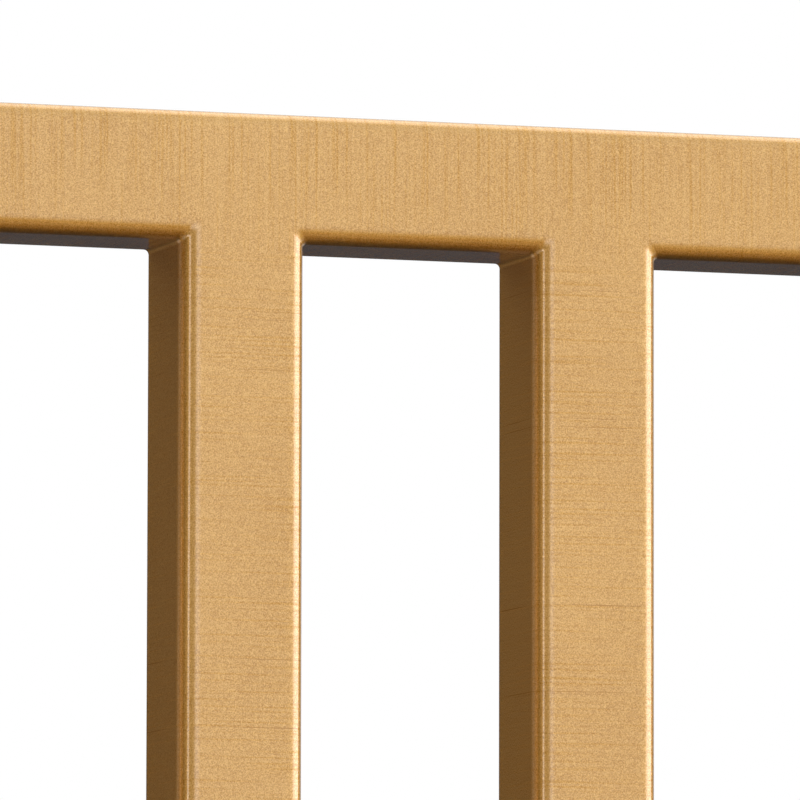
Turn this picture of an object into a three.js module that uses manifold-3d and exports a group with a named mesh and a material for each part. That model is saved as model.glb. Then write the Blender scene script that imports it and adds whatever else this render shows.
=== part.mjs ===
// Twin-size metal bed frame. A headboard of upright bars and a low footboard, both welded from steel tube,
// are bolted to two side rails. The side rails and a centre beam on its own leg carry the cross slats.
// Every leg stands on a levelling foot that screws up and down.
// Millimetres, +Z up, the head of the bed towards +Y, left and right as seen from the foot of the bed.
// The origin is on the floor under the middle of the bed.

import * as THREE from "three";
import { mergeVertices } from "three/addons/utils/BufferGeometryUtils.js";
import Module from "manifold-3d";

const wasm = await Module();
wasm.setup();

// Mattress, and the room left round it
const mattressWidth = 965;
const mattressLength = 1905;
const mattressSideRoom = 9;
const mattressEndRoom = 10;

// Heights above the floor
const headboardHeight = 1100;
const platformHeight = 340; // top edge of the side rails
const mattressLip = 20; // side rail above the slats

// Square tube: posts, bars, top rail and centre leg
const tubeSize = 25;
const tubeWall = 1.2;
const tubeRadius = 2.5;
const barCount = 13;

// Rectangular tube, as thick as the posts: side rails, foot rail and the headboard's lower rail
const railHeight = 50;
const ledgeWidth = 35;
const ledgeThickness = 3;

// Cross slats
const slatCount = 12;
const slatWidth = 60;
const slatHeight = 20;
const slatWall = 1;
const slatSideRoom = 1.5; // slat end to side rail
const slatEndMargin = 40; // first slat to headboard, last slat to footboard

// Centre beam, the saddles that hold its ends, and the plate on top of its leg
const beamHeight = 40;
const saddleThickness = 3;
const saddleReach = 35; // shelf under the beam's end
const saddleLip = 18; // sides of the saddle above its shelf
const saddleRise = 30; // back of the saddle above the rail's bottom edge
const saddleSideRoom = 0.5;
const legPlateLength = 70;
const legPlateThickness = 3;

// Bolted corners: an end plate on each side rail end, two bolts through the post into it
const endPlateThickness = 4;
const boltRadius = 4;
const boltSpacing = 26;
const boltHoleRoom = 0.5;
const boltReach = 10; // beyond the end plate
const boltHeadRadius = 7;
const boltHeadHeight = 4;
const boltSocketAcross = 5;
const boltSocketDepth = 2.5;

// Levelling foot and the plug that it screws into
const footPadRadius = 12;
const footPadHeight = 8;
const footPadEdge = 1; // chamfer round the bottom
const footNeckAcross = 13; // spanner flats
const footNeckHeight = 4;
const footStudRadius = 4;
const footStudLength = 30;
const footTravel = 10; // foot screwed out of the leg, so it can go up by this much
const plugFlange = 3;
const plugDepth = 20;
const plugSideRoom = 0.3;
const plugThreadRoom = 0.4;

// Clear space between pieces that touch
const contactGap = 0.3;

// Smoothness: segments in a quarter turn of a tube corner are twice cornerSegments
const cornerSegments = 2;
const roundSegments = 12;
const padSegments = 20;

// Sizes that follow from the ones above
const innerWidth = mattressWidth + 2 * mattressSideRoom;
const innerLength = mattressLength + 2 * mattressEndRoom;
const outerWidth = innerWidth + 2 * tubeSize;
const postX = (innerWidth + tubeSize) / 2;
const postY = (innerLength + tubeSize) / 2;
const barPitch = (outerWidth - tubeSize) / (barCount + 1);
const railCentreZ = platformHeight - railHeight / 2;
const ledgeTop = platformHeight - mattressLip - slatHeight;
const plugBottom = footPadHeight + footNeckHeight + footTravel + contactGap;
const legBottom = plugBottom + plugFlange + contactGap;
const beamBottom = ledgeTop - beamHeight;
const boltHoleRadius = boltRadius + boltHoleRoom;
const boltHeights = { upper: railCentreZ + boltSpacing / 2, lower: railCentreZ - boltSpacing / 2 };
const sides = { left: -1, right: 1 };
const ends = { headboard: 1, footboard: -1 };

// Materials
const finish = (color, roughness, metalness) =>
  new THREE.MeshStandardMaterial({ color, roughness, metalness, flatShading: true });
const goldCoat = finish(0xcfa369, 0.42, 0.85);
const brassPlate = finish(0xb08d57, 0.3, 1);
const blackNylon = finish(0x1b1b1c, 0.6, 0);
const zincSteel = finish(0xa8a9a6, 0.35, 1);

// Solids for cutting and joining
function toSolid(geometry) {
  const bare = geometry.clone();
  bare.deleteAttribute("normal");
  bare.deleteAttribute("uv");
  const merged = mergeVertices(bare);
  return new wasm.Manifold(
    new wasm.Mesh({
      numProp: 3,
      vertProperties: merged.getAttribute("position").array,
      triVerts: Uint32Array.from(merged.index.array),
    }),
  );
}

function toGeometry(solid) {
  const mesh = solid.getMesh();
  return new THREE.BufferGeometry()
    .setAttribute("position", new THREE.BufferAttribute(mesh.vertProperties, 3))
    .setIndex(new THREE.BufferAttribute(mesh.triVerts, 1));
}

const cut = (geometry, ...tools) =>
  toGeometry(tools.reduce((solid, tool) => solid.subtract(toSolid(tool)), toSolid(geometry)));
const join = (geometry, ...others) =>
  toGeometry(others.reduce((solid, other) => solid.add(toSolid(other)), toSolid(geometry)));

// A rectangle with rounded corners, centred on (x, y), drawn into a shape or a hole.
function roundedRectangle(outline, width, height, radius, x = 0, y = 0) {
  const right = x + width / 2;
  const top = y + height / 2;
  const left = x - width / 2;
  const bottom = y - height / 2;
  outline.moveTo(left + radius, bottom);
  outline.lineTo(right - radius, bottom);
  outline.absarc(right - radius, bottom + radius, radius, -Math.PI / 2, 0);
  outline.absarc(right - radius, top - radius, radius, 0, Math.PI / 2);
  outline.absarc(left + radius, top - radius, radius, Math.PI / 2, Math.PI);
  outline.absarc(left + radius, bottom + radius, radius, Math.PI, (3 * Math.PI) / 2);
  return outline;
}

function rectangleHole(width, height) {
  const hole = new THREE.Path();
  hole.moveTo(-width / 2, -height / 2);
  hole.lineTo(-width / 2, height / 2);
  hole.lineTo(width / 2, height / 2);
  hole.lineTo(width / 2, -height / 2);
  hole.closePath();
  return hole;
}

// Extrudes a section along Z, centred on the origin.
function extrude(shape, length) {
  const geometry = new THREE.ExtrudeGeometry(shape, {
    depth: length,
    bevelEnabled: false,
    curveSegments: cornerSegments,
  });
  return geometry.translate(0, 0, -length / 2);
}

function tube(width, height, wall, radius, length) {
  const shape = roundedRectangle(new THREE.Shape(), width, height, radius);
  shape.holes.push(rectangleHole(width - 2 * wall, height - 2 * wall));
  return extrude(shape, length);
}

const squareTube = (length) => tube(tubeSize, tubeSize, tubeWall, tubeRadius, length);
const railTube = (length) => tube(tubeSize, railHeight, tubeWall, tubeRadius, length);

function plate(width, height, thickness, radius) {
  return extrude(roundedRectangle(new THREE.Shape(), width, height, radius), thickness);
}

function box(width, depth, height, x, y, z) {
  return new THREE.BoxGeometry(width, depth, height).translate(x, y, z);
}

function rod(radius, length, segments = roundSegments) {
  return new THREE.CylinderGeometry(radius, radius, length, segments).rotateX(Math.PI / 2);
}

const hexagonRadius = (across) => across / Math.sqrt(3);

// Cuts the end of a tube at 45 degrees: the vertices at that end move back by what inset() gives for each.
function mitre(geometry, end, inset) {
  const position = geometry.getAttribute("position");
  for (let i = 0; i < position.count; i++) {
    const z = position.getZ(i);
    if (Math.sign(z) === end) position.setZ(i, z - end * inset(position.getX(i), position.getY(i)));
  }
  return geometry;
}

// Pieces are made along Z; these turns lay them along X or Y with their sections upright.
const alongX = new THREE.Euler(Math.PI / 2, 0, Math.PI / 2, "ZYX");
const alongY = new THREE.Euler(Math.PI / 2, 0, 0);
const alongZ = new THREE.Euler(0, 0, 0);

function piece(name, geometry, material, x, y, z, turn = alongZ) {
  const mesh = new THREE.Mesh(geometry, material);
  mesh.name = name;
  mesh.position.set(x, y, z);
  mesh.rotation.copy(turn);
  return mesh;
}

// Holes through a post for the two corner bolts, in the frame of a post centred on middleZ.
function boltHoles(middleZ) {
  return Object.values(boltHeights).map((z) =>
    rod(boltHoleRadius, 2 * tubeSize).rotateX(Math.PI / 2).translate(0, 0, z - middleZ),
  );
}

// Headboard: two posts mitred to the top rail, a lower rail, and the bars between the rails.
function headboardPost(side) {
  const length = headboardHeight - legBottom;
  const middleZ = legBottom + length / 2;
  const blank = mitre(squareTube(length), 1, (x) => tubeSize / 2 - sides[side] * x);
  const post = cut(blank, ...boltHoles(middleZ));
  return piece(`headboard_${side}_post`, post, goldCoat, sides[side] * postX, 0, middleZ);
}

function headboardTopRail() {
  const mitreGap = contactGap * Math.SQRT2; // along the rail, for a clear gap of contactGap across the cut
  const rail = squareTube(outerWidth - 2 * mitreGap);
  for (const end of [1, -1]) mitre(rail, end, (x, y) => tubeSize / 2 - y);
  return piece("headboard_top_rail", rail, goldCoat, 0, 0, headboardHeight - tubeSize / 2, alongX);
}

function headboardLowerRail() {
  const rail = railTube(innerWidth - 2 * contactGap);
  return piece("headboard_lower_rail", rail, goldCoat, 0, 0, railCentreZ, alongX);
}

function headboardBars() {
  const bottom = platformHeight + contactGap;
  const top = headboardHeight - tubeSize - contactGap;
  return Array.from({ length: barCount }, (_, i) => {
    const name = `headboard_bar_${String(i + 1).padStart(2, "0")}`;
    const x = (i - (barCount - 1) / 2) * barPitch;
    return piece(name, squareTube(top - bottom), goldCoat, x, 0, (bottom + top) / 2);
  });
}

// Footboard: two short posts with a rail between them.
function footboardPost(side) {
  const length = platformHeight - legBottom;
  const middleZ = legBottom + length / 2;
  const post = cut(squareTube(length), ...boltHoles(middleZ));
  return piece(`footboard_${side}_post`, post, goldCoat, sides[side] * postX, 0, middleZ);
}

function footboardRail() {
  const rail = railTube(innerWidth - 2 * contactGap);
  return piece("footboard_rail", rail, goldCoat, 0, 0, railCentreZ, alongX);
}

// Side rail: a rectangular tube with a slat ledge standing out of its inner face.
function sideRail(side) {
  const inward = -sides[side];
  const length = innerLength - 2 * (endPlateThickness + 2 * contactGap);
  const ledgeY = ledgeTop - ledgeThickness / 2 - railCentreZ;
  const rootX = tubeSize / 2 - tubeWall / 2; // the ledge's root is in the tube's wall
  const ledgeDepth = ledgeWidth + tubeWall / 2;
  const ledge = box(ledgeDepth, ledgeThickness, length, inward * (rootX + ledgeDepth / 2), ledgeY, 0);
  const rail = join(railTube(length), ledge);
  return piece(`${side}_side_rail`, rail, goldCoat, sides[side] * postX, 0, railCentreZ, alongY);
}

function endPlate(side, end) {
  const blank = plate(tubeSize, railHeight, endPlateThickness, tubeRadius);
  const holes = Object.values(boltHeights).map((z) =>
    rod(boltHoleRadius, 2 * endPlateThickness).translate(0, z - railCentreZ, 0),
  );
  const y = ends[end] * (innerLength / 2 - contactGap - endPlateThickness / 2);
  const name = `${side}_side_rail_${end}_plate`;
  return piece(name, cut(blank, ...holes), goldCoat, sides[side] * postX, y, railCentreZ, alongY);
}

// Button-head bolt along Z: the head's underside is at z = 0 and the shank runs down from it.
function cornerBolt(side, end, level) {
  const shankLength = tubeSize + endPlateThickness + boltReach;
  const headEdge = boltHeadHeight / 3;
  const profile = [
    [0, -shankLength],
    [boltRadius, -shankLength],
    [boltRadius, 0],
    [boltHeadRadius, 0],
    [boltHeadRadius, headEdge],
    [boltHeadRadius * 0.8, boltHeadHeight * 0.8],
    [boltHeadRadius * 0.45, boltHeadHeight],
    [0, boltHeadHeight],
  ].map(([r, z]) => new THREE.Vector2(r, z));
  const blank = new THREE.LatheGeometry(profile, roundSegments).rotateX(Math.PI / 2);
  const socket = rod(hexagonRadius(boltSocketAcross), 2 * boltSocketDepth, 6);
  socket.translate(0, 0, boltHeadHeight);
  const turn = new THREE.Euler((-ends[end] * Math.PI) / 2, 0, 0);
  const y = ends[end] * (innerLength / 2 + tubeSize + contactGap);
  const name = `${end}_${side}_${level}_bolt`;
  return piece(name, cut(blank, socket), brassPlate, sides[side] * postX, y, boltHeights[level], turn);
}

// Cross slats: flat tubes that rest on both ledges and on the centre beam.
function crossSlats() {
  const length = innerWidth - 2 * slatSideRoom;
  const reach = innerLength / 2 - slatEndMargin - slatWidth / 2;
  const pitch = (2 * reach) / (slatCount - 1);
  const z = ledgeTop + contactGap + slatHeight / 2;
  return Array.from({ length: slatCount }, (_, i) => {
    const name = `slat_${String(i + 1).padStart(2, "0")}`;
    const slat = tube(slatWidth, slatHeight, slatWall, tubeRadius, length);
    return piece(name, slat, goldCoat, 0, -reach + i * pitch, z, alongX);
  });
}

// Centre beam, with a saddle on the headboard's lower rail and one on the foot rail.
function centreBeam() {
  const length = innerLength - 2 * (saddleThickness + 2 * contactGap);
  const beam = tube(tubeSize, beamHeight, tubeWall, tubeRadius, length);
  return piece("centre_beam", beam, goldCoat, 0, 0, beamBottom + beamHeight / 2, alongY);
}

function beamSaddle(end) {
  const outward = ends[end];
  const width = tubeSize + 2 * (saddleSideRoom + saddleThickness);
  const shelfTop = beamBottom - contactGap;
  const shelfBottom = shelfTop - saddleThickness;
  const backHeight = platformHeight - railHeight + saddleRise - shelfBottom;
  const depth = saddleThickness + saddleReach;
  const lipX = (width - saddleThickness) / 2;
  const lipHeight = saddleLip + saddleThickness;
  const back = box(width, saddleThickness, backHeight, 0, -outward * (saddleThickness / 2), backHeight / 2);
  const shelf = box(width, depth, saddleThickness, 0, -outward * (depth / 2), saddleThickness / 2);
  const lips = [1, -1].map((x) =>
    box(saddleThickness, depth, lipHeight, x * lipX, -outward * (depth / 2), lipHeight / 2),
  );
  const face = outward * (innerLength / 2 - contactGap);
  return piece(`${end}_beam_saddle`, join(back, shelf, ...lips), goldCoat, 0, face, shelfBottom);
}

// Centre leg: a square tube with a plate across its top, under the beam.
function centreLeg() {
  const top = beamBottom - contactGap;
  const length = top - legBottom;
  const cap = plate(tubeSize, legPlateLength, legPlateThickness, tubeRadius);
  cap.translate(0, 0, (length - legPlateThickness) / 2);
  return piece("centre_leg", join(squareTube(length), cap), goldCoat, 0, 0, legBottom + length / 2);
}

// Plug in the bottom of a leg, with a flange under the tube and a threaded hole right through.
function legPlug(name, x, y) {
  const plugSize = tubeSize - 2 * (tubeWall + plugSideRoom);
  const flange = plate(tubeSize, tubeSize, plugFlange, tubeRadius).translate(0, 0, plugFlange / 2);
  const stem = box(plugSize, plugSize, plugDepth + plugFlange, 0, 0, (plugDepth + plugFlange) / 2);
  const bore = rod(footStudRadius + plugThreadRoom, 3 * (plugDepth + plugFlange));
  return piece(`${name}_plug`, cut(join(flange, stem), bore), blackNylon, x, y, plugBottom);
}

// Levelling foot: a round pad, a hexagon neck for a spanner, and the threaded stud.
function levellingFoot(name, x, y) {
  const profile = [
    [0, 0],
    [footPadRadius - footPadEdge, 0],
    [footPadRadius, footPadEdge],
    [footPadRadius, footPadHeight / 2],
    [footPadRadius * 0.7, footPadHeight],
    [0, footPadHeight],
  ].map(([r, z]) => new THREE.Vector2(r, z));
  const pad = new THREE.LatheGeometry(profile, padSegments).rotateX(Math.PI / 2);
  const neckBottom = footPadHeight / 2; // the neck and the stud are rooted inside the pad
  const neckTop = footPadHeight + footNeckHeight;
  const neck = rod(hexagonRadius(footNeckAcross), neckTop - neckBottom, 6);
  neck.translate(0, 0, (neckTop + neckBottom) / 2);
  const stud = rod(footStudRadius, neckTop + footStudLength - neckBottom);
  stud.translate(0, 0, (neckTop + footStudLength + neckBottom) / 2);
  return piece(`${name}_leveller`, join(pad, neck, stud), zincSteel, x, y, 0);
}

// Assembly
function headboard() {
  const group = new THREE.Group();
  group.position.y = ends.headboard * postY;
  group.add(headboardPost("left"), headboardPost("right"), headboardTopRail(), headboardLowerRail());
  group.add(...headboardBars());
  return group;
}

function footboard() {
  const group = new THREE.Group();
  group.position.y = ends.footboard * postY;
  group.add(footboardPost("left"), footboardPost("right"), footboardRail());
  return group;
}

function platform() {
  const group = new THREE.Group();
  for (const side of Object.keys(sides)) {
    group.add(sideRail(side));
    for (const end of Object.keys(ends)) {
      group.add(endPlate(side, end));
      for (const level of Object.keys(boltHeights)) group.add(cornerBolt(side, end, level));
    }
  }
  group.add(...crossSlats());
  group.add(centreBeam(), beamSaddle("headboard"), beamSaddle("footboard"), centreLeg());
  return group;
}

function feet() {
  const group = new THREE.Group();
  const legs = [["centre", 0, 0]];
  for (const [end, y] of Object.entries(ends)) {
    for (const [side, x] of Object.entries(sides)) legs.push([`${end}_${side}`, x * postX, y * postY]);
  }
  for (const leg of legs) group.add(legPlug(...leg), levellingFoot(...leg));
  return group;
}

const bed = new THREE.Group();
bed.name = "metal_bed_frame";
bed.add(headboard(), footboard(), platform(), feet());

export default bed;
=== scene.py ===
import math
import bpy
import numpy as np
from mathutils import Matrix, Vector


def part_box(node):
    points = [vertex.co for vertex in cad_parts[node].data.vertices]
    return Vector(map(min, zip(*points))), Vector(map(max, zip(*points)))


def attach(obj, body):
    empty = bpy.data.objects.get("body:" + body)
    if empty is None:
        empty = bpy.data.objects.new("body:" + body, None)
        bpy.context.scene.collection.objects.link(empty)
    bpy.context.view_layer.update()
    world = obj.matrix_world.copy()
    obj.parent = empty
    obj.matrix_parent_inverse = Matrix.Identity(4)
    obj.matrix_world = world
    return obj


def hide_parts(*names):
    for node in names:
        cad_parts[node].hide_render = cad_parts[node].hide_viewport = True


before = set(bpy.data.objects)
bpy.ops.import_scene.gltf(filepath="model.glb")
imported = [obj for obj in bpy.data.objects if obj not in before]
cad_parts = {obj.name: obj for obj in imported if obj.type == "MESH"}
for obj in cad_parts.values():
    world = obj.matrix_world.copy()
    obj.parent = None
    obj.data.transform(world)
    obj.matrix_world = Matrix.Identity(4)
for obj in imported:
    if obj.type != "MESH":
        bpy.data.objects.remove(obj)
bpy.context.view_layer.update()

mm = 0.001
collection = bpy.context.scene.collection


def cadBox(node):
    # the node's lowest and highest corner
    low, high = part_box(node)
    return np.array(low), np.array(high)


# sizes and places that several pieces share, read from the frame
topRailLow, topRailHigh = cadBox("headboard_top_rail")
headPostLow, headPostHigh = cadBox("headboard_left_post")
lowerRailLow, lowerRailHigh = cadBox("headboard_lower_rail")
tubeSize = float(topRailHigh[1] - topRailLow[1])
halfTube = tubeSize / 2
barNames = sorted(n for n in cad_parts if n.startswith("headboard_bar_"))
slatNames = sorted(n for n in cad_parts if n.startswith("slat_"))
boltNames = sorted(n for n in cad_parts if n.endswith("_bolt"))
legNames = sorted(n[:-len("_plug")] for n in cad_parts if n.endswith("_plug"))
barX = [float(cadBox(n)[0][0] + cadBox(n)[1][0]) / 2 for n in barNames]

# rounded edges: how far each runs into the flat faces, how square it is (2 is a circle), and its steps
tubeEdge = {"reach": 4.0 * mm, "fullness": 2.6, "steps": 14}
plateEdge = {"reach": 0.7 * mm, "fullness": 2.0, "steps": 4}
capEdge = {"reach": 1.3 * mm, "fullness": 2.2, "steps": 6}
cornerWeld = {"radius": 1.1 * mm, "steps": 6, "stub": 0.8 * mm}  # ground weld in each inner corner
outerCorner = {"radius": 2.2 * mm, "steps": 8}
legEnd = {"wall": 1.2 * mm, "depth": 34 * mm}  # the tube's hollow, which the plug and the foot's stud go into


def makeMesh(name, points, faces):
    # turns every face round where the closed surface would enclose a negative volume: the sum, over its
    # triangles, of the first corner's dot product with the cross product of the other two
    mesh = bpy.data.meshes.new(name)
    fan = [(f[0], f[i], f[i + 1]) for f in faces for i in range(1, len(f) - 1)]
    corner = points[np.array(fan)]
    volume = np.einsum("ij,ij->i", corner[:, 0], np.cross(corner[:, 1], corner[:, 2])).sum()
    if volume < 0:
        faces = [tuple(reversed(f)) for f in faces]
    mesh.from_pydata(points.tolist(), [], faces)
    mesh.polygons.foreach_set("use_smooth", np.ones(len(faces), bool))
    piece = bpy.data.objects.new(name, mesh)
    collection.objects.link(piece)
    return piece


def gridFaces(rows, columns, first=0, closedRows=False, closedColumns=False):
    # quads between neighbours (i, j) of a grid of points numbered row by row
    i, j = np.meshgrid(np.arange(rows if closedRows else rows - 1),
                       np.arange(columns if closedColumns else columns - 1), indexing="ij")
    nextRow, nextColumn = (i + 1) % rows, (j + 1) % columns
    quad = np.stack([i * columns + j, nextRow * columns + j, nextRow * columns + nextColumn,
                     i * columns + nextColumn], -1)
    return [tuple(q) for q in (first + quad).reshape(-1, 4).tolist()]


def edgeProfile(thickness, edge):
    # Section through an edge, from the front face round the side to the back face. Each rounded edge is a
    # quarter of a superellipse: sine and cosine of an even turn, both raised to two over the fullness.
    turn = np.linspace(0, math.pi / 2, edge["steps"] + 1)
    side = np.sin(turn) ** (2 / edge["fullness"])
    face = np.cos(turn).clip(0) ** (2 / edge["fullness"])
    inset = edge["reach"] * (1 - side)
    depth = edge["reach"] * (1 - face)
    outward, forward = side ** (edge["fullness"] - 1), face ** (edge["fullness"] - 1)
    inset = np.concatenate([inset, inset[::-1]])
    depth = np.concatenate([depth, thickness - depth[::-1]])
    outward = np.concatenate([outward, outward[::-1]])
    forward = np.concatenate([forward, -forward[::-1]])
    return inset, depth, outward, forward


def edgePath(corners, radii, steps):
    # A path of straight runs joined by arcs, with the metal on its right. A corner's arc keeps its radius
    # while the path is inset, so it moves along the corner's bisector: the sum of the two runs' normals.
    corners = np.array(corners, float)
    run = np.diff(corners, axis=0)
    run /= np.linalg.norm(run, axis=1)[:, None]
    normal = np.stack([-run[:, 1], run[:, 0]], -1)
    points, normals, shifts = [corners[:1]], [normal[:1]], [normal[:1]]
    for k, radius in enumerate(radii):
        before, after = normal[k], normal[k + 1]
        bend = np.sign(run[k, 0] * run[k + 1, 1] - run[k, 1] * run[k + 1, 0])
        part = np.linspace(0, math.pi / 2, steps + 1)[:, None]
        arc = np.cos(part) * before + np.sin(part) * after
        centre = corners[k + 1] + bend * radius * (before + after)
        points.append(centre - bend * radius * arc)
        normals.append(arc)
        shifts.append(np.repeat([before + after], steps + 1, 0))
    points.append(corners[-1:])
    normals.append(normal[-1:])
    shifts.append(normal[-1:])
    return np.concatenate(points), np.concatenate(normals), np.concatenate(shifts)


def straightPath(start, end):
    # one run, without a corner
    return edgePath([start, end], [], 1)


def closedPath(corners, radii, steps=6):
    # starts and ends halfway along the last side
    middle = (np.array(corners[0], float) + np.array(corners[-1], float)) / 2
    return tuple(part[:-1] for part in edgePath([middle, *corners, middle], radii, steps))


def mirrored(paths):
    # the same outline on the other side: across the middle, and run backwards to keep the metal on the
    # right
    flip = np.array([-1.0, 1.0])
    return [tuple(part[::-1] * flip for part in path) for path in paths[::-1]]


def hollowEnd(points, cap):
    # Gives the new points and faces of a leg's open end. The cap's ring is shrunk about its middle by the
    # wall's share of half a tube, then carried up the tube by the depth. Three sets of faces close it: the
    # end of the wall, the inside of the wall, and the top of the hollow.
    ring = points[cap]
    middle = (ring.min(0) + ring.max(0)) / 2
    inner = middle + (ring - middle) * (1 - legEnd["wall"] / halfTube)
    upper = inner + np.array([0, legEnd["depth"], 0])
    innerIndex = len(points) + np.arange(len(cap))
    rings = np.stack([cap, innerIndex, innerIndex + len(cap)])
    ahead = np.roll(rings, -1, axis=1)
    quads = np.stack([rings[:-1], ahead[:-1], ahead[1:], rings[1:]], -1).reshape(-1, 4)
    faces = [tuple(q) for q in quads.tolist()]
    faces.append(tuple(rings[2].tolist()))
    return np.concatenate([inner, upper]), faces


def outlinePiece(name, paths, near, far, order, lengthwise, edge=tubeEdge, closed=False, leg=False):
    # Carries the edge section along each path in the plane of the first two axes of order, between near
    # and far on the third: point = path point - shift * inset, at near + depth. Flat faces close the front
    # and the back, and the cuts between one path's end and the next one's start. A leg's last cut is its
    # lower end, and open.
    inset, depth, outward, forward = edgeProfile(far - near, edge)
    across = len(inset)
    points, normals, faces, caps, start = [], [], [], [], [0]
    for path, normal, shift in paths:
        flat = path[:, None] - shift[:, None] * inset[None, :, None]
        grid = np.concatenate([flat, np.broadcast_to(near + depth, flat.shape[:2])[..., None]], -1)
        spread = (normal * shift).sum(1)[:, None] * forward[None]
        lean = np.concatenate([normal[:, None] * outward[None, :, None], -spread[..., None]], -1)
        points.append(grid.reshape(-1, 3))
        normals.append((lean / np.linalg.norm(lean, axis=-1)[..., None]).reshape(-1, 3))
        faces += gridFaces(len(path), across, start[-1], closedRows=closed)
        start.append(start[-1] + len(path) * across)
    front = np.arange(0, start[-1], across)
    faces.append(tuple(front[::-1].tolist()))
    faces.append(tuple((front + across - 1).tolist()))
    ring = np.arange(across)
    for k in range(0 if closed else len(paths)):
        last = start[k + 1] - across + ring[::-1]
        following = start[(k + 1) % len(paths)] + ring
        caps.append(tuple(np.concatenate([last, following]).tolist()))
    points, normals = np.concatenate(points), np.concatenate(normals)
    if leg:
        inside, insideFaces = hollowEnd(points, np.array(caps.pop()))
        points = np.concatenate([points, inside])
        caps += insideFaces
        # placeholders: the flat faces that meet these points take their own normals below
        normals = np.concatenate([normals, np.zeros_like(inside)])
    axes = [order.index(a) for a in "xyz"]
    normals = normals[:, axes]
    piece = makeMesh(name, points[:, axes], faces + caps)
    mesh = piece.data
    loopVertex = np.zeros(len(mesh.loops), np.int32)
    mesh.loops.foreach_get("vertex_index", loopVertex)
    loopNormal = normals[loopVertex]
    for polygon in mesh.polygons[len(faces):]:
        loopNormal[polygon.loop_start:polygon.loop_start + polygon.loop_total] = polygon.normal
    mesh.normals_split_custom_set(loopNormal.tolist())
    brushMap(mesh, lengthwise)
    return piece


def straightTube(name, low, high, order, leg=False):
    # runs along the second axis of order, with its rounded edges on the first and third
    a, b, c = ("xyz".index(axis) for axis in order)
    paths = [straightPath((low[a], low[b]), (low[a], high[b])),
             straightPath((high[a], high[b]), (high[a], low[b]))]
    return outlinePiece(name, paths, low[c], high[c], order, order[1], leg=leg)


def flatPlate(name, low, high, order, lengthwise, radius, edge=plateEdge):
    # a rectangle with rounded corners in the plane of the first two axes of order, thick along the third
    a, b, c = ("xyz".index(axis) for axis in order)
    corners = [(low[a], low[b]), (low[a], high[b]), (high[a], high[b]), (high[a], low[b])]
    outline = closedPath(corners, [radius] * 4)
    return outlinePiece(name, [outline], low[c], high[c], order, lengthwise, edge, closed=True)


def loftPiece(name, lofts, lengthwise="z", sharp=32, closedRows=False):
    # each loft is a grid of points whose rows are closed rings; flat faces close its first and last ring
    points, faces, first = [], [], 0
    for rings in lofts:
        rows, columns = rings.shape[:2]
        faces += gridFaces(rows, columns, first, closedRows, closedColumns=True)
        ring = np.arange(columns)
        if not closedRows:
            faces.append(tuple((first + ring).tolist()))
            faces.append(tuple((first + (rows - 1) * columns + ring[::-1]).tolist()))
        points.append(rings.reshape(-1, 3))
        first += rows * columns
    piece = makeMesh(name, np.concatenate(points), faces)
    piece.data.set_sharp_from_angle(angle=math.radians(sharp))
    brushMap(piece.data, lengthwise)
    return piece


def brushMap(mesh, lengthwise):
    # UV in metres: along the member, and the sum of the other two coordinates, which changes round the
    # edges too
    vertex = np.zeros(len(mesh.vertices) * 3, np.float32)
    mesh.vertices.foreach_get("co", vertex)
    vertex = vertex.reshape(-1, 3)
    along = "xyz".index(lengthwise)
    across = vertex.sum(1) - vertex[:, along]
    index = np.zeros(len(mesh.loops), np.int32)
    mesh.loops.foreach_get("vertex_index", index)
    layer = mesh.uv_layers.new(name="brush")
    layer.data.foreach_set("uv", np.stack([vertex[index, along], across[index]], -1).ravel())


def softCorners(corners, cuts, steps=5):
    # A profile with each inner corner cut back on both sides by its own length and bridged by a parabola:
    # the two cut points and the corner itself, weighted (1 - t) squared, t squared and 2 t (1 - t).
    corners = np.array(corners, float)
    before, corner, after = corners[:-2], corners[1:-1], corners[2:]
    cut = np.array(cuts, float)[:, None]
    back = corner + (before - corner) / np.linalg.norm(before - corner, axis=1)[:, None] * cut
    on = corner + (after - corner) / np.linalg.norm(after - corner, axis=1)[:, None] * cut
    t = np.linspace(0, 1, steps + 1)[None, :, None]
    bridge = (1 - t) ** 2 * back[:, None] + 2 * t * (1 - t) * corner[:, None] + t ** 2 * on[:, None]
    return np.concatenate([corners[:1], bridge.reshape(-1, 2), corners[-1:]])


def squareRadius(turn, fullness=10.0):
    # distance to the edge of a rounded square of half size 1: one over the fullness-norm of the direction
    return 1 / (np.abs(np.cos(turn)) ** fullness + np.abs(np.sin(turn)) ** fullness) ** (1 / fullness)


def hexagonRadius(turn):
    # distance to the edge of a hexagon whose flats are 1 from its middle
    return 1 / np.cos((turn + math.pi / 6) % (math.pi / 3) - math.pi / 6)


def turnedRings(radius, height, centre, axis=(0, 0, 1)):
    # rings about an axis square to X: centre + radius * (cosine along X + sine across it) + height * axis,
    # with radius a grid by (row, turn) and height one value for each row
    turn = evenTurn(radius.shape[1])
    sideways = np.array([1.0, 0.0, 0.0])
    ring = np.cos(turn)[:, None] * sideways + np.sin(turn)[:, None] * np.cross(axis, sideways)
    return np.array(centre) + radius[..., None] * ring[None] + height[:, None, None] * np.array(axis)


def evenTurn(columns):
    # that many equal steps of a full turn
    return np.arange(columns) * 2 * math.pi / columns


weldBead = {"leg": 3.0 * mm, "bulge": 0.16, "ripple": 0.16, "pitch": 1.7 * mm, "rowsPerRipple": 5,
            "taper": 2.5 * mm, "endSize": 0.15, "root": 0.12, "steps": 6}


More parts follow.
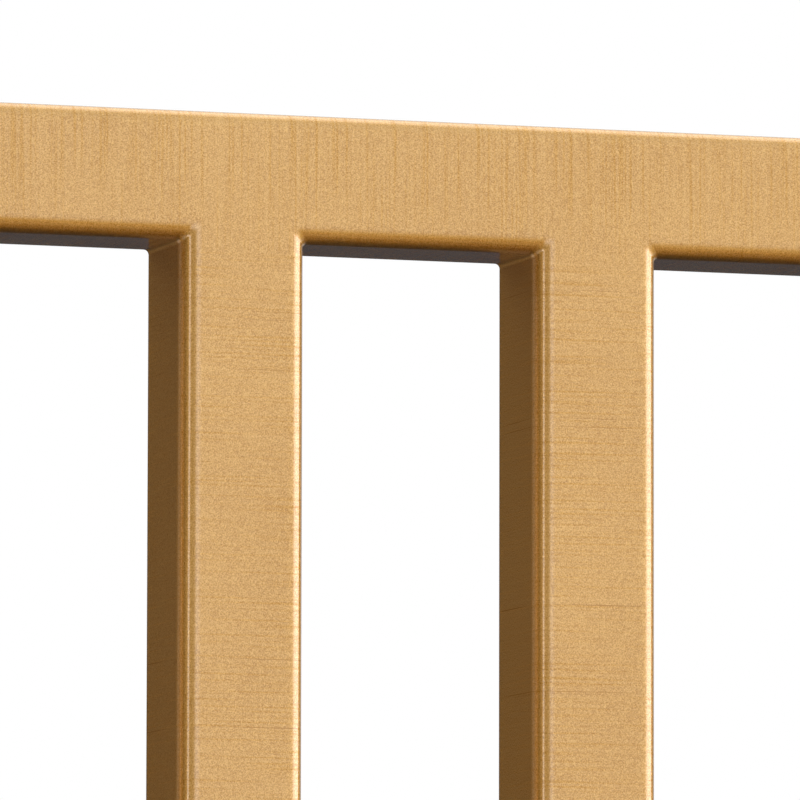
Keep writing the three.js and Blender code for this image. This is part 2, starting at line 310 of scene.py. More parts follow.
def beadRings(start, end, sideA, sideB, bead=weldBead):
    # A bead in the corner between two faces. Its section is the straight line between its two legs, bulged
    # by the sine of twice the turn, and closed by a root just behind the corner. Its size swells with each
    # ripple, and shrinks as a quarter ellipse towards its ends.
    start, end, sideA, sideB = (np.array(v, float) for v in (start, end, sideA, sideB))
    if np.dot(np.cross(sideA, sideB), end - start) < 0:
        sideA, sideB = sideB, sideA
    length = np.linalg.norm(end - start)
    along = np.linspace(0, length, int(length / bead["pitch"] * bead["rowsPerRipple"]))
    fromEnd = np.minimum(along, length - along) / bead["taper"]
    taper = np.sqrt(1 - (1 - fromEnd.clip(0, 1)) ** 2)
    wave = np.abs(np.sin(math.pi * along / bead["pitch"])) - 0.5
    size = bead["leg"] * (bead["endSize"] + (1 - bead["endSize"]) * taper) * (1 + bead["ripple"] * wave)
    turn = np.linspace(0, math.pi / 2, bead["steps"])[:, None]
    section = (np.cos(turn) * sideA + np.sin(turn) * sideB) / (np.cos(turn) + np.sin(turn))
    section = section * (1 + bead["bulge"] * np.sin(2 * turn))
    section = np.concatenate([section, -bead["root"] * (sideA + sideB)[None]])
    middle = start + (end - start) * (along / length)[:, None]
    return middle[:, None] + size[:, None, None] * section[None]


def finishPiece(piece, slotName, material, *nodes, body="frame"):
    # gives the piece its material, the CAD nodes that it replaces and the body that it rides
    piece.data.materials.clear()
    piece.data.materials.append(material)
    if nodes:
        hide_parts(*nodes)
    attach(piece, body)


def newMaterial(name):
    # the material, its node tree and its main shader
    material = bpy.data.materials.new(name)
    material.use_nodes = True
    return material, material.node_tree, material.node_tree.nodes["Principled BSDF"]


def addNode(tree, kind, inputs, **settings):
    # settings first, then each input: a socket is linked, anything else is its value
    node = tree.nodes.new(kind)
    for key, value in settings.items():
        setattr(node, key, value)
    for key, value in inputs.items():
        if isinstance(value, bpy.types.NodeSocket):
            tree.links.new(value, node.inputs[key])
        else:
            node.inputs[key].default_value = value
    return node


def calc(tree, operation, *values):
    return addNode(tree, "ShaderNodeMath", dict(enumerate(values)), operation=operation).outputs[0]


def noise(tree, vector, scale, detail=2.0):
    # values from 0 to 1, mostly near a half
    inputs = {"Vector": vector, "Scale": scale, "Detail": detail, "Roughness": 0.5}
    return addNode(tree, "ShaderNodeTexNoise", inputs).outputs[0]


def stretched(tree, vector, scale):
    # the vector times a scale of its own on each axis
    return addNode(tree, "ShaderNodeMapping", {"Vector": vector, "Scale": scale}).outputs[0]


def remap(tree, value, low, high, toLow, toHigh, kind="LINEAR"):
    # low becomes toLow and high becomes toHigh; what lies outside is held at those ends
    inputs = {"Value": value, "From Min": low, "From Max": high, "To Min": toLow, "To Max": toHigh}
    return addNode(tree, "ShaderNodeMapRange", inputs, interpolation_type=kind).outputs[0]


def mixColour(tree, share, first, second):
    return addNode(tree, "ShaderNodeMix", {0: share, 6: first, 7: second}, data_type="RGBA").outputs[2]


def bumpNormal(tree, height, spec):
    inputs = {"Strength": spec["bump"], "Distance": spec["bumpHeight"], "Height": height}
    return addNode(tree, "ShaderNodeBump", inputs).outputs[0]


def objectPlace(tree):
    return addNode(tree, "ShaderNodeTexCoord", {}).outputs["Object"]


def addGrain(tree, grain, value, depth):
    # grain + (value - 0.5) * depth
    return calc(tree, "MULTIPLY_ADD", calc(tree, "SUBTRACT", value, 0.5), depth, grain)


# scales are in features per metre; a span is the low and the high input between which a setting changes
goldCoat = {
    "shade": (0.465, 0.21, 0.004, 1), "colour": (0.83, 0.515, 0.15, 1), "colourSpan": (-0.1, 1.1),
    "roughness": (0.52, 0.42), "roughnessSpan": (0.2, 0.8), "metallic": 0.9,
    "coat": (0.6, 1.0), "coatSpan": (0.34, 0.47), "coatRoughness": 0.1, "coatIor": 1.95,
    "flakeScale": 4100, "flakeDepth": 2.35, "lineScale": (2400, 26, 1), "lineDepth": 0.55,
    "scratchScale": (2600, 20, 1), "scratchSpan": (0.2, 0.27), "scratchDepth": 1.0,
    "patchScale": 28, "patchDepth": 0.25,
    "bump": 0.3, "bumpHeight": 0.06 * mm, "lineBump": 0.8, "flakeBump": 0.2,
}


def goldCoatMaterial(spec):
    # Grain = 0.5 + (flakes - 0.5) * their depth, and so on for fine lines across the tube and slow
    # patches, less rare scratches * their depth. It sets the colour and the roughness. The clear coat is
    # thinner along the darker lines, and lines and flakes tilt the surface.
    material, tree, shader = newMaterial("goldCoat")
    place = objectPlace(tree)
    brush = addNode(tree, "ShaderNodeUVMap", {}, uv_map="brush").outputs[0]
    flake = noise(tree, place, spec["flakeScale"], detail=1.0)
    line = noise(tree, stretched(tree, brush, spec["lineScale"]), 1.0)
    patch = noise(tree, place, spec["patchScale"])
    scratch = noise(tree, stretched(tree, brush, spec["scratchScale"]), 1.0, detail=1.0)
    scratch = remap(tree, scratch, *spec["scratchSpan"], 1.0, 0.0)
    grain = addGrain(tree, 0.5, flake, spec["flakeDepth"])
    grain = addGrain(tree, grain, line, spec["lineDepth"])
    grain = addGrain(tree, grain, patch, spec["patchDepth"])
    grain = calc(tree, "MULTIPLY_ADD", scratch, -spec["scratchDepth"], grain)
    share = remap(tree, grain, *spec["colourSpan"], 0.0, 1.0)
    roughness = remap(tree, grain, *spec["roughnessSpan"], *spec["roughness"])
    coat = remap(tree, line, *spec["coatSpan"], *spec["coat"])
    tree.links.new(mixColour(tree, share, spec["shade"], spec["colour"]), shader.inputs["Base Color"])
    tree.links.new(roughness, shader.inputs["Roughness"])
    tree.links.new(coat, shader.inputs["Coat Weight"])
    flakeHeight = calc(tree, "MULTIPLY", flake, spec["flakeBump"])
    height = calc(tree, "MULTIPLY_ADD", line, spec["lineBump"], flakeHeight)
    bump = bumpNormal(tree, height, spec)
    tree.links.new(bump, shader.inputs["Normal"])
    tree.links.new(bump, shader.inputs["Coat Normal"])
    shader.inputs["Metallic"].default_value = spec["metallic"]
    shader.inputs["Coat Roughness"].default_value = spec["coatRoughness"]
    shader.inputs["Coat IOR"].default_value = spec["coatIor"]
    return material


brassBolt = {"colour": (0.62, 0.42, 0.17, 1), "tarnish": (0.30, 0.17, 0.06, 1), "tarnishScale": 420,
             "tarnishSpan": (0.35, 0.6), "roughness": (0.22, 0.42), "roughnessSpan": (0.3, 0.7),
             "wearScale": (5200, 900, 900), "bump": 0.25, "bumpHeight": 0.03 * mm}
nylonPlug = {"colour": (0.018, 0.018, 0.02, 1), "dust": (0.06, 0.058, 0.055, 1), "dustScale": 60.0,
             "dustSpan": (0.5, 0.75), "mostDust": 0.6, "grainScale": 2400, "roughness": (0.42, 0.62),
             "roughnessSpan": (0.3, 0.7), "ior": 1.53, "bump": 0.35, "bumpHeight": 0.05 * mm}
zincFoot = {"colour": (0.62, 0.63, 0.62, 1), "warm": (0.60, 0.56, 0.44, 1), "spangleScale": 260,
            "roughness": (0.26, 0.44), "grainScale": 3000, "bump": 0.2, "bumpHeight": 0.03 * mm}


def brassMaterial(spec):
    # tarnish gathers where a slow noise is low, and fine turned marks roughen the rest
    material, tree, shader = newMaterial("brassBolt")
    place = objectPlace(tree)
    cloud = noise(tree, place, spec["tarnishScale"], detail=4.0)
    tarnish = remap(tree, cloud, *spec["tarnishSpan"], 1.0, 0.0)
    marks = noise(tree, stretched(tree, place, spec["wearScale"]), 1.0, detail=3.0)
    tree.links.new(mixColour(tree, tarnish, spec["colour"], spec["tarnish"]), shader.inputs["Base Color"])
    roughness = remap(tree, marks, *spec["roughnessSpan"], *spec["roughness"])
    tree.links.new(roughness, shader.inputs["Roughness"])
    tree.links.new(bumpNormal(tree, marks, spec), shader.inputs["Normal"])
    shader.inputs["Metallic"].default_value = 1.0
    return material


def nylonMaterial(spec):
    # moulded grain, a little dustier where a slow noise is high
    material, tree, shader = newMaterial("nylonPlug")
    place = objectPlace(tree)
    grain = noise(tree, place, spec["grainScale"], detail=3.0)
    cloud = noise(tree, place, spec["dustScale"], detail=4.0)
    dust = remap(tree, cloud, *spec["dustSpan"], 0.0, spec["mostDust"])
    tree.links.new(mixColour(tree, dust, spec["colour"], spec["dust"]), shader.inputs["Base Color"])
    roughness = remap(tree, grain, *spec["roughnessSpan"], *spec["roughness"])
    tree.links.new(roughness, shader.inputs["Roughness"])
    tree.links.new(bumpNormal(tree, grain, spec), shader.inputs["Normal"])
    shader.inputs["IOR"].default_value = spec["ior"]
    return material


def zincMaterial(spec):
    # spangles: cells of slightly different tint and gloss, under a fine grain
    material, tree, shader = newMaterial("zincFoot")
    place = objectPlace(tree)
    cell = addNode(tree, "ShaderNodeTexVoronoi", {"Vector": place, "Scale": spec["spangleScale"]})
    tone = addNode(tree, "ShaderNodeSeparateColor", {0: cell.outputs["Color"]}).outputs[0]
    grain = noise(tree, place, spec["grainScale"])
    tree.links.new(mixColour(tree, tone, spec["colour"], spec["warm"]), shader.inputs["Base Color"])
    tree.links.new(remap(tree, tone, 0.0, 1.0, *spec["roughness"]), shader.inputs["Roughness"])
    tree.links.new(bumpNormal(tree, grain, spec), shader.inputs["Normal"])
    shader.inputs["Metallic"].default_value = 1.0
    return material


goldMaterial = goldCoatMaterial(goldCoat)
boltMaterial = brassMaterial(brassBolt)
plugMaterial = nylonMaterial(nylonPlug)
footMaterial = zincMaterial(zincFoot)
print("materials made")


def goldPiece(piece, *nodes):
    finishPiece(piece, "gold_coat", goldMaterial, *nodes)


# places that the headboard's pieces share: its flat front and back, and the cuts between one piece and the
# next, just outside each ground weld
frontY, backY = float(topRailLow[1]), float(topRailHigh[1])
postX = float(headPostHigh[0]) - halfTube
legBottom = float(headPostLow[2])
railBottom, railTop = float(lowerRailLow[2]), float(lowerRailHigh[2])
weldReach = cornerWeld["radius"] + cornerWeld["stub"]
topCut = float(topRailLow[2]) - weldReach
lowerCut = railTop + weldReach
sideCut = postX + halfTube + weldReach
uprights = [postX] + barX + [-postX]
gaps = [(a + halfTube, b - halfTube) for a, b in zip(uprights, uprights[1:])]


def headboardTopRail():
    # one outline over the top with both outer corners, and one round the top of each gap between the
    # uprights
    outerX, top, under = postX - halfTube, float(topRailHigh[2]), float(topRailLow[2])
    corners = [(outerX, topCut), (outerX, top), (-outerX, top), (-outerX, topCut)]
    paths = [edgePath(corners, [outerCorner["radius"]] * 2, outerCorner["steps"])]
    for left, right in gaps[::-1]:
        corners = [(right, topCut), (right, under), (left, under), (left, topCut)]
        paths.append(edgePath(corners, [cornerWeld["radius"]] * 2, cornerWeld["steps"]))
    goldPiece(outlinePiece("top_rail", paths, frontY, backY, "xzy", "x"), "headboard_top_rail")


def headboardLowerRail():
    # round the foot of each gap from post to post, then back along the underside
    radius, steps = cornerWeld["radius"], cornerWeld["steps"]
    paths = []
    for k, (left, right) in enumerate(gaps):
        corners = [(left, lowerCut), (left, railTop), (right, railTop), (right, lowerCut)]
        radii = [radius, radius]
        if k == 0:
            corners, radii = [(sideCut, railTop)] + corners[2:], radii[1:]
        if k == len(gaps) - 1:
            corners, radii = corners[:-2] + [(-sideCut, railTop)], radii[1:]
        paths.append(edgePath(corners, radii, steps))
    paths.append(straightPath((-sideCut, railBottom), (sideCut, railBottom)))
    goldPiece(outlinePiece("lower_rail", paths, frontY, backY, "xzy", "x"), "headboard_lower_rail")


def headboardBars():
    # from the ground welds on the lower rail up to those under the top rail
    for node, x in zip(barNames, barX):
        low, high = (x - halfTube, frontY, lowerCut), (x + halfTube, backY, topCut)
        goldPiece(straightTube(node.replace("headboard_", ""), low, high, "xzy"), node)


def innerPostPath(top):
    # a post's inner side below a rail: the ground weld under the rail, then down to the plug
    inner = postX + halfTube
    corners = [(inner + weldReach, railBottom), (inner, railBottom), (inner, top)]
    return edgePath(corners, [cornerWeld["radius"]], cornerWeld["steps"])


def headboardPosts():
    # the outer side, the inner side above the lower rail with its ground weld, and the inner side below it
    outer, inner = postX - halfTube, postX + halfTube
    corners = [(inner, topCut), (inner, railTop), (inner + weldReach, railTop)]
    above = edgePath(corners, [cornerWeld["radius"]], cornerWeld["steps"])
    left = [straightPath((outer, legBottom), (outer, topCut)), above, innerPostPath(legBottom)]
    for side, paths in (("left", left), ("right", mirrored(left))):
        piece = outlinePiece("head_%s_post" % side, paths, frontY, backY, "xzy", "z", leg=True)
        goldPiece(piece, "headboard_%s_post" % side)


def footboardFrame():
    # each post's top is closed flush with the rail, with a rounded outer corner
    outer, inner = postX - halfTube, postX + halfTube
    low, high = cadBox("footboard_rail")
    frontFace, backFace = float(low[1]), float(high[1])
    corners = [(outer, legBottom), (outer, railTop), (inner + weldReach, railTop)]
    over = edgePath(corners, [outerCorner["radius"]], outerCorner["steps"])
    left = [over, innerPostPath(legBottom)]
    for side, paths in (("left", left), ("right", mirrored(left))):
        piece = outlinePiece("foot_%s_post" % side, paths, frontFace, backFace, "xzy", "z", leg=True)
        goldPiece(piece, "footboard_%s_post" % side)
    low[0], high[0] = sideCut, -sideCut
    goldPiece(straightTube("foot_rail", low, high, "zxy"), "footboard_rail")


headboardTopRail()
headboardBars()
headboardLowerRail()
headboardPosts()
footboardFrame()
print("headboard and footboard made")


sideRail = {"ledgeThickness": 3 * mm, "ledgeRoot": 1 * mm, "ledgeCorner": 5 * mm, "slatGap": 0.3 * mm,
            "plateCorner": 2.8 * mm, "stitchLength": 28 * mm}
slatCap = {"thickness": 3 * mm, "corner": 2.8 * mm}
slatUnder = float(cadBox(slatNames[0])[0][2])
slatY = [float(cadBox(n)[0][1] + cadBox(n)[1][1]) / 2 for n in slatNames]


def sideRails():
    # a tube with a plate in each end, and a ledge whose root runs into the tube; a weld from below
    # stitches it on halfway between each two slats
    spec = sideRail
    for side, out in (("left", -1), ("right", 1)):
        node = "%s_side_rail" % side
        low, high = cadBox(node)
        plates = ["%s_%s_plate" % (node, end) for end in ("footboard", "headboard")]
        inner, outer = out * (abs(postX) - halfTube), out * (abs(postX) + halfTube)
        tubeLow = np.array([min(inner, outer), float(cadBox(plates[0])[1][1]), low[2]])
        tubeHigh = np.array([max(inner, outer), float(cadBox(plates[1])[0][1]), high[2]])
        goldPiece(straightTube("%s_rail" % side, tubeLow, tubeHigh, "zyx"), node)
        ledgeTop = slatUnder - spec["slatGap"]
        tip = low[0] if out > 0 else high[0]
        root = inner + out * spec["ledgeRoot"]
        ledgeLow = (min(tip, root), low[1], ledgeTop - spec["ledgeThickness"])
        ledgeHigh = (max(tip, root), high[1], ledgeTop)
        ledge = flatPlate("%s_ledge" % side, ledgeLow, ledgeHigh, "xyz", "y", spec["ledgeCorner"])
        goldPiece(ledge, node)
        for plate in plates:
            plateLow, plateHigh = cadBox(plate)
            name = plate.replace("side_rail", "rail")
            goldPiece(flatPlate(name, plateLow, plateHigh, "xzy", "z", spec["plateCorner"]), plate)
        beads = []
        for a, b in zip(slatY, slatY[1:]):
            middle = (a + b) / 2
            start = (inner, middle - spec["stitchLength"] / 2, ledgeLow[2])
            end = (inner, middle + spec["stitchLength"] / 2, ledgeLow[2])
            beads.append(beadRings(start, end, (-out, 0, 0), (0, 0, -1)))
        goldPiece(loftPiece("%s_ledge_welds" % side, beads, "y"), node)


def slats():
    # a tube between two end caps, all as wide and as high as the slat
    spec = slatCap
    for node in slatNames:
        low, high = cadBox(node)
        tubeLow, tubeHigh = low.copy(), high.copy()
        tubeLow[0] += spec["thickness"]
        tubeHigh[0] -= spec["thickness"]
        goldPiece(straightTube(node + "_tube", tubeLow, tubeHigh, "yxz"), node)
        ends = (("left", low[0], tubeLow[0]), ("right", tubeHigh[0], high[0]))
        for side, near, far in ends:
            capLow, capHigh = (near, low[1], low[2]), (far, high[1], high[2])
            cap = flatPlate("%s_%s_cap" % (node, side), capLow, capHigh, "yzx", "y", spec["corner"], capEdge)
            finishPiece(cap, "nylon_plugs", plugMaterial, node)


sideRails()
slats()
print("side rails and slats made")


saddle = {"thickness": 3 * mm, "lip": 18 * mm, "bend": 2 * mm, "corner": 3 * mm, "edge": 1 * mm,
          "weldLength": 22 * mm}
legPlate = {"thickness": 3 * mm, "corner": 5 * mm, "weldLength": 18 * mm}


def beamSaddles():
    # a bent channel that the beam's end lies in, on a back plate welded to the rail
    spec = saddle
    for end, out in (("headboard", 1), ("footboard", -1)):
        node = "%s_beam_saddle" % end
        low, high = cadBox(node)
        face = float(high[1] if out > 0 else low[1])
        front = face - out * spec["thickness"]
        tip = float(low[1] if out > 0 else high[1])
        half, bottom = float(high[0]), float(low[2])
        lipTop = bottom + spec["thickness"] + spec["lip"]
        inside, shelf = half - spec["thickness"], bottom + spec["thickness"]
        corners = [(-half, bottom), (-half, lipTop), (-inside, lipTop), (-inside, shelf), (inside, shelf),
                   (inside, lipTop), (half, lipTop), (half, bottom)]
        outerBend, edge, bend = spec["bend"] + spec["thickness"], spec["edge"], spec["bend"]
        radii = [outerBend, edge, edge, bend, bend, edge, edge, outerBend]
        near, far = sorted((front, tip))
        channel = outlinePiece("%s_saddle_channel" % end, [closedPath(corners, radii)], near, far, "xzy", "y",
                               plateEdge, closed=True)
        goldPiece(channel, node)
        backLow, backHigh = low.copy(), high.copy()
        backLow[1], backHigh[1] = sorted((front, face))
        goldPiece(flatPlate("%s_saddle_back" % end, backLow, backHigh, "xzy", "z", spec["corner"]), node)
        beads = []
        for side in (-1, 1):
            top = float(high[2]) - spec["corner"]
            start, stop = (side * half, face, top - spec["weldLength"]), (side * half, face, top)
            beads.append(beadRings(start, stop, (side, 0, 0), (0, -out, 0)))
        goldPiece(loftPiece("%s_saddle_welds" % end, beads, "z"), node)


def centreBeamAndLeg():
    # the beam, and a leg with a plate on its top and a weld under the plate on two sides
    low, high = cadBox("centre_beam")
    goldPiece(straightTube("beam", low, high, "zyx"), "centre_beam")
    spec = legPlate
    low, high = cadBox("centre_leg")
    plateBottom = float(high[2]) - spec["thickness"]
    legLow, legHigh = (-halfTube, -halfTube, low[2]), (halfTube, halfTube, plateBottom)
    goldPiece(straightTube("leg_tube", legLow, legHigh, "xzy", leg=True), "centre_leg")
    plateLow, plateHigh = (low[0], low[1], plateBottom), high
    goldPiece(flatPlate("leg_plate", plateLow, plateHigh, "xyz", "y", spec["corner"]), "centre_leg")
    beads = []
    for side in (-1, 1):
        start = (-spec["weldLength"] / 2, side * halfTube, plateBottom)
        end = (spec["weldLength"] / 2, side * halfTube, plateBottom)
        beads.append(beadRings(start, end, (0, side, 0), (0, 0, -1)))
    goldPiece(loftPiece("leg_plate_welds", beads, "x"), "centre_leg")


beamSaddles()
centreBeamAndLeg()
print("centre beam made")


# the bolts' and the feet's profiles start, and the sockets end, on a ring of this radius round the axis
poleRadius = 0.2 * mm
bolt = {"headRadius": 7 * mm, "headHeight": 4 * mm, "headEdge": 1.2 * mm, "headSteps": 10, "land": 3.7 * mm,
        "shank": 4 * mm, "tipCut": 0.8 * mm, "tipEdge": 0.1 * mm, "underEdge": 0.3 * mm,
        "socketAcross": 5 * mm, "socketDepth": 2.5 * mm, "socketCone": 0.4 * mm, "socketCut": 0.35 * mm,
        "columns": 48}
plug = {"flange": 3 * mm, "bore": 4.4 * mm, "boreCut": 0.6 * mm, "boreEdge": 0.3 * mm, "boreLand": 1 * mm,
        "stem": 11 * mm, "edge": 0.8 * mm, "shrink": 0.15 * mm, "columns": 96}
foot = {"pad": 12 * mm, "padHeight": 8 * mm, "padTop": 8.6 * mm, "padEdge": 1.2 * mm, "padWaist": 1.4 * mm,
        "padShoulder": 0.7 * mm, "neckAcross": 13 * mm, "neckHeight": 4 * mm, "neckRound": 7.1 * mm,
        "neckSlope": 1.2, "neckRows": 13, "stud": 4 * mm, "pitch": 1.25 * mm, "threadDepth": 0.6 * mm,
        "threadShape": 0.8, "threadSteps": 8, "tipLength": 1.5 * mm, "tipLeast": 0.55, "columns": 48}


def cornerBolts():
    # Lathe profile from the shank's tip over the domed head (radius and height of an ellipse from the rim
    # to the land) to the socket, whose rings turn from round to hexagonal.
    spec = bolt
    turn = evenTurn(spec["columns"])
    for node in boltNames:
        low, high = cadBox(node)
        out = 1 if node.startswith("headboard") else -1
        length = float(high[1] - low[1]) - spec["headHeight"]
        under = (high[1] if out > 0 else low[1]) - out * spec["headHeight"]
        centre = ((low[0] + high[0]) / 2, under, (low[2] + high[2]) / 2)
        shank, tip = spec["shank"], spec["tipCut"]
        corners = [(poleRadius, -length), (shank - tip, -length), (shank, tip - length), (shank, 0),
                   (spec["headRadius"], 0), (spec["headRadius"], spec["headEdge"])]
        cuts = [spec["tipEdge"], spec["tipEdge"], spec["underEdge"], spec["underEdge"]]
        lower = softCorners(corners, cuts, steps=3)
        rise = np.linspace(0, math.pi / 2, spec["headSteps"])[1:]
        domeRadius = spec["land"] + (spec["headRadius"] - spec["land"]) * np.cos(rise)
        domeHeight = spec["headEdge"] + (spec["headHeight"] - spec["headEdge"]) * np.sin(rise)
        flat, top = spec["socketAcross"] / 2, spec["headHeight"]
        rim = flat * 2 / math.sqrt(3) + spec["socketCut"] / 2
        socketEnd = top - spec["socketDepth"]
        socketFlats = np.array([flat, flat, poleRadius])[:, None] * hexagonRadius(turn)[None]
        roundRadius = np.concatenate([lower[:, 0], domeRadius, [rim]])[:, None]
        radius = np.concatenate([np.repeat(roundRadius, len(turn), 1), socketFlats])
        socketHeight = [top, top - spec["socketCut"], socketEnd, socketEnd - spec["socketCone"]]
        height = np.concatenate([lower[:, 1], domeHeight, socketHeight])
        rings = turnedRings(radius, height, centre, (0, out, 0))
        piece = loftPiece(node.replace("board", ""), [rings], "y")
        finishPiece(piece, "brass_bolts", boltMaterial, node)


def legPlugs():
    # a ring: from the bore's foot out under the flange, up the stem and back down the bore; the outer rings
    # are rounded squares and the bore's are circles
    spec = plug
    turn = evenTurn(spec["columns"])
    for leg in legNames:
        low, high = cadBox(leg + "_plug")
        half = halfTube - spec["shrink"]
        bottom, top = float(low[2]), float(high[2])
        flange, stem, edge = bottom + spec["flange"], spec["stem"], spec["edge"]
        land = spec["bore"] + spec["boreLand"]
        corners = [(land, bottom), (half, bottom), (half, flange), (stem, flange), (stem, top), (land, top)]
        outer = softCorners(corners, [edge, edge / 2, edge / 2, edge], steps=4)
        bore, cut = spec["bore"], spec["boreCut"]
        corners = [(bore + cut, top), (bore, top - cut), (bore, bottom + cut), (bore + cut, bottom)]
        inner = softCorners(corners, [spec["boreEdge"]] * 2, steps=3)
        squares = outer[:, :1] * squareRadius(turn)[None]
        radius = np.concatenate([squares, np.repeat(inner[:, :1], len(turn), 1)])
        height = np.concatenate([outer[:, 1], inner[:, 1]])
        centre = ((low[0] + high[0]) / 2, (low[1] + high[1]) / 2, 0)
        rings = turnedRings(radius, height, centre)
        piece = loftPiece("%s_leg_plug" % leg, [rings], closedRows=True)
        finishPiece(piece, "nylon_plugs", plugMaterial, leg + "_plug")


def levellingFeet():
    # Rings up from the floor: the pad's soft profile, the hexagon neck trimmed to a circle at its two
    # chamfers, and the stud, whose radius falls by a rounded wave of height over pitch less one turn (a
    # right-hand thread) and narrows towards its tip.
    spec = foot
    turn = evenTurn(spec["columns"])
    for leg in legNames:
        low, high = cadBox(leg + "_leveller")
        pad, neckLow, top = spec["pad"], spec["padHeight"], float(high[2])
        corners = [(poleRadius, 0), (pad, 0), (pad, neckLow / 2), (spec["padTop"], neckLow),
                   (spec["neckAcross"] / 2, neckLow)]
        cuts = [spec["padEdge"], spec["padWaist"], spec["padShoulder"]]
        profile = softCorners(corners, cuts, steps=6)
        neckHigh = neckLow + spec["neckHeight"]
        neckRise = np.linspace(neckLow, neckHigh, spec["neckRows"])
        fromEnd = np.minimum(neckRise - neckLow, neckHigh - neckRise)
        limit = (spec["neckRound"] + fromEnd * spec["neckSlope"])[:, None]
        neck = np.minimum(spec["neckAcross"] / 2 * hexagonRadius(turn)[None], limit)
        rows = int((top - neckHigh) / spec["pitch"] * spec["threadSteps"])
        studRise = np.linspace(neckHigh, top, rows)
        wave = 0.5 - 0.5 * np.cos(2 * math.pi * studRise[:, None] / spec["pitch"] - turn[None])
        ease = ((top - studRise) / spec["tipLength"]).clip(spec["tipLeast"], 1)[:, None]
        stud = (spec["stud"] - spec["threadDepth"] * wave ** spec["threadShape"]) * (0.5 + 0.5 * ease)
        radius = np.concatenate([np.repeat(profile[:, :1], len(turn), 1), neck, stud])
        height = np.concatenate([profile[:, 1], neckRise, studRise])
        centre = ((low[0] + high[0]) / 2, (low[1] + high[1]) / 2, 0)
        rings = turnedRings(radius, height, centre)
        piece = loftPiece("%s_foot_screw" % leg, [rings], sharp=40)
        finishPiece(piece, "zinc_feet", footMaterial, leg + "_leveller", body=leg + "_foot")


cornerBolts()
legPlugs()
levellingFeet()
print("bolts, plugs and feet made")


studio = {"ambient": (0.02, 0.018, 0.016), "backdrop": (1, 1, 1, 1), "floorColour": (0.82, 0.81, 0.80, 1),
          "floorRoughness": 0.9, "floorReach": 60.0}
# soft boxes by where they stand round the bed: bearing from the foot end towards the right, height, half
# sizes, edge softness (all degrees), strength and tint
softBoxes = {
    "front": {"bearing": 38, "height": 17, "halfWide": 40, "halfHigh": 31, "soft": 13, "power": 0.97,
              "tint": (1, 0.99, 0.99)},
    "frontLow": {"bearing": 25, "height": -34, "halfWide": 44, "halfHigh": 19, "soft": 10, "power": 0.75,
                 "tint": (1, 0.74, 0.36)},
    "frontStrip": {"bearing": 6, "height": 12, "halfWide": 7, "halfHigh": 28, "soft": 5, "power": 0.75,
                   "tint": (1, 0.98, 1)},
    "gap": {"bearing": -22, "height": 10, "halfWide": 16, "halfHigh": 30, "soft": 6, "power": 0.3,
            "tint": (1, 0.9, 0.8)},
    "leftStrip": {"bearing": -41, "height": 12, "halfWide": 6, "halfHigh": 30, "soft": 4, "power": 1.95,
                  "tint": (1, 0.98, 0.98)},
    "leftWarm": {"bearing": -56, "height": 10, "halfWide": 18, "halfHigh": 30, "soft": 10, "power": 0.24,
                 "tint": (1, 0.7, 0.4)},
    "left": {"bearing": -130, "height": 10, "halfWide": 14, "halfHigh": 45, "soft": 10, "power": 0.31,
             "tint": (1, 0.8, 0.6)},
    "leftBack": {"bearing": -160, "height": 0, "halfWide": 22, "halfHigh": 40, "soft": 12, "power": 0.05,
                 "tint": (1, 0.55, 0.25)},
    "rightStrip": {"bearing": 79, "height": 6, "halfWide": 34, "halfHigh": 10, "soft": 9, "power": 2.5,
                   "tint": (1, 1, 1.12)},
    "right": {"bearing": 110, "height": 20, "halfWide": 32, "halfHigh": 40, "soft": 12, "power": 0.6,
              "tint": (1, 0.98, 0.96)},
    "top": {"bearing": 0, "height": 90, "halfWide": 180, "halfHigh": 42, "soft": 14, "power": 0.85,
            "tint": (1, 1, 1)},
    "backHigh": {"bearing": 180, "height": 48, "halfWide": 110, "halfHigh": 27, "soft": 8, "power": 0.9,
                 "tint": (1, 0.98, 0.96)},
    "rightBackLow": {"bearing": 163, "height": -6, "halfWide": 16, "halfHigh": 8, "soft": 6, "power": 0.06,
                     "tint": (0.9, 0.95, 1.1)},
    "leftLow": {"bearing": -95, "height": -32, "halfWide": 60, "halfHigh": 18, "soft": 12, "power": 0.4,
                "tint": (1, 0.97, 0.94)},
    "rightLow": {"bearing": 95, "height": -28, "halfWide": 26, "halfHigh": 16, "soft": 10, "power": 0.4,
                 "tint": (1, 0.97, 0.94)},
}


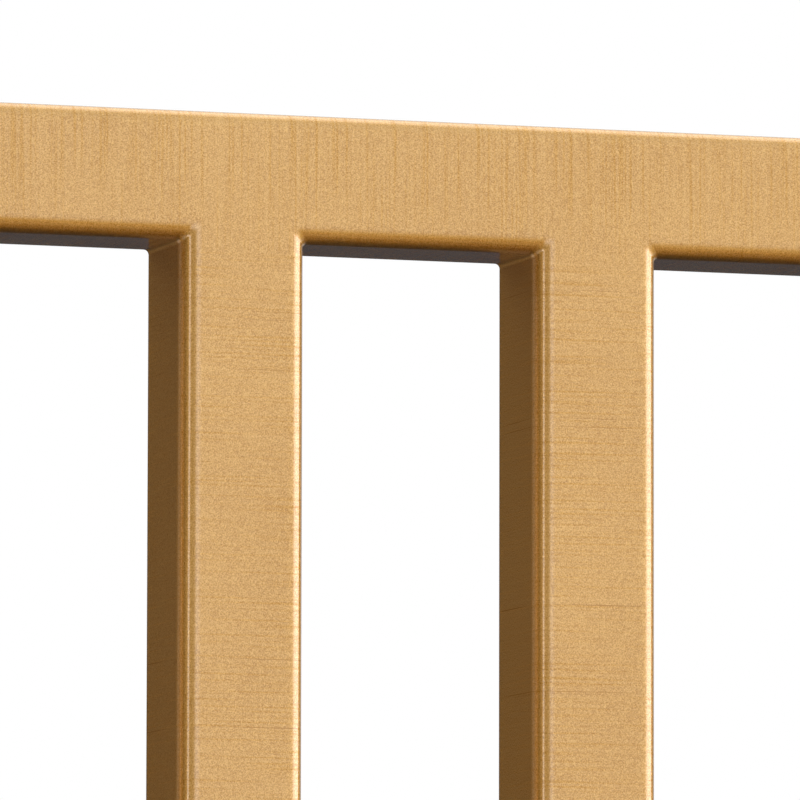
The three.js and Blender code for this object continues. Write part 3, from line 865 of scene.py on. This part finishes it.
def buildWorld():
    # light from a direction = ambient + each box's tint * power * its share sideways * its share upwards,
    # where a share runs smoothly from 1 to 0 across the box's edge; the camera itself sees the plain
    # backdrop
    world = bpy.data.worlds.new("studio")
    bpy.context.scene.world = world
    world.use_nodes = True
    tree = world.node_tree
    tree.nodes.clear()
    direction = addNode(tree, "ShaderNodeTexCoord", {}).outputs["Generated"]
    part = addNode(tree, "ShaderNodeSeparateXYZ", {0: direction}).outputs
    bearing = calc(tree, "ARCTAN2", part["X"], calc(tree, "MULTIPLY", part["Y"], -1.0))
    bearing = calc(tree, "MULTIPLY", bearing, 180 / math.pi)
    height = calc(tree, "MULTIPLY", calc(tree, "ARCSINE", part["Z"]), 180 / math.pi)
    light = addNode(tree, "ShaderNodeCombineXYZ", dict(enumerate(studio["ambient"]))).outputs[0]
    for box in softBoxes.values():
        away = calc(tree, "SUBTRACT", bearing, box["bearing"])
        away = calc(tree, "ABSOLUTE", calc(tree, "WRAP", away, 180.0, -180.0))
        half, soft = box["halfWide"], box["soft"]
        wide = remap(tree, away, half - soft, half + soft, 1.0, 0.0, "SMOOTHSTEP")
        rise = calc(tree, "ABSOLUTE", calc(tree, "SUBTRACT", height, box["height"]))
        half = box["halfHigh"]
        high = remap(tree, rise, half - soft, half + soft, 1.0, 0.0, "SMOOTHSTEP")
        share = calc(tree, "MULTIPLY", calc(tree, "MULTIPLY", wide, high), box["power"])
        tint = addNode(tree, "ShaderNodeVectorMath", {0: box["tint"], 3: share}, operation="SCALE").outputs[0]
        light = addNode(tree, "ShaderNodeVectorMath", {0: light, 1: tint}, operation="ADD").outputs[0]
    lit = addNode(tree, "ShaderNodeBackground", {"Color": light, "Strength": 1.0})
    plain = addNode(tree, "ShaderNodeBackground", {"Color": studio["backdrop"], "Strength": 1.0})
    seen = addNode(tree, "ShaderNodeLightPath", {}).outputs["Is Camera Ray"]
    mix = addNode(tree, "ShaderNodeMixShader", {0: seen, 1: lit.outputs[0], 2: plain.outputs[0]})
    addNode(tree, "ShaderNodeOutputWorld", {"Surface": mix.outputs[0]})


def buildFloor():
    # a square that far out on every side, left out of reflections
    reach = studio["floorReach"]
    mesh = bpy.data.meshes.new("floor")
    corners = [(-reach, -reach, 0), (reach, -reach, 0), (reach, reach, 0), (-reach, reach, 0)]
    mesh.from_pydata(corners, [], [(0, 1, 2, 3)])
    floor = bpy.data.objects.new("floor", mesh)
    collection.objects.link(floor)
    material, _, shader = newMaterial("floorPaint")
    shader.inputs["Base Color"].default_value = studio["floorColour"]
    shader.inputs["Roughness"].default_value = studio["floorRoughness"]
    mesh.materials.append(material)
    floor.visible_glossy = False


# turn, rise and roll are in degrees; the target is halfway between leftBar and the next bar
cameraSpec = {"sensor": 36.0, "lens": 480.0, "distance": 2.057, "turn": 18.75, "rise": 5.74, "roll": 0.118,
              "leftBar": 6, "belowTop": 50 * mm, "across": -4.32 * mm, "up": -4.57 * mm}


def buildCamera(spec):
    # place = target - look * distance + right * across + up * up, with look turned and raised from +Y, and
    # right and up rolled about it
    data = bpy.data.cameras.new("camera")
    camera = bpy.data.objects.new("camera", data)
    collection.objects.link(camera)
    data.sensor_width, data.lens = spec["sensor"], spec["lens"]
    turn, rise, roll = (math.radians(spec[k]) for k in ("turn", "rise", "roll"))
    look = Vector((math.sin(turn) * math.cos(rise), math.cos(turn) * math.cos(rise), math.sin(rise)))
    level = Vector((math.cos(turn), -math.sin(turn), 0))
    upright = level.cross(look)
    right = level * math.cos(roll) + upright * math.sin(roll)
    up = upright * math.cos(roll) - level * math.sin(roll)
    middle = (barX[spec["leftBar"]] + barX[spec["leftBar"] + 1]) / 2
    target = Vector((middle, frontY, float(topRailHigh[2]) - spec["belowTop"]))
    place = target - look * spec["distance"] + right * spec["across"] + up * spec["up"]
    camera.matrix_world = Matrix((
        (right.x, up.x, -look.x, place.x), (right.y, up.y, -look.y, place.y),
        (right.z, up.z, -look.z, place.z), (0, 0, 0, 1)))
    bpy.context.scene.camera = camera


buildWorld()
buildFloor()
buildCamera(cameraSpec)
bpy.context.scene.view_settings.view_transform = "Standard"
print("stage made")
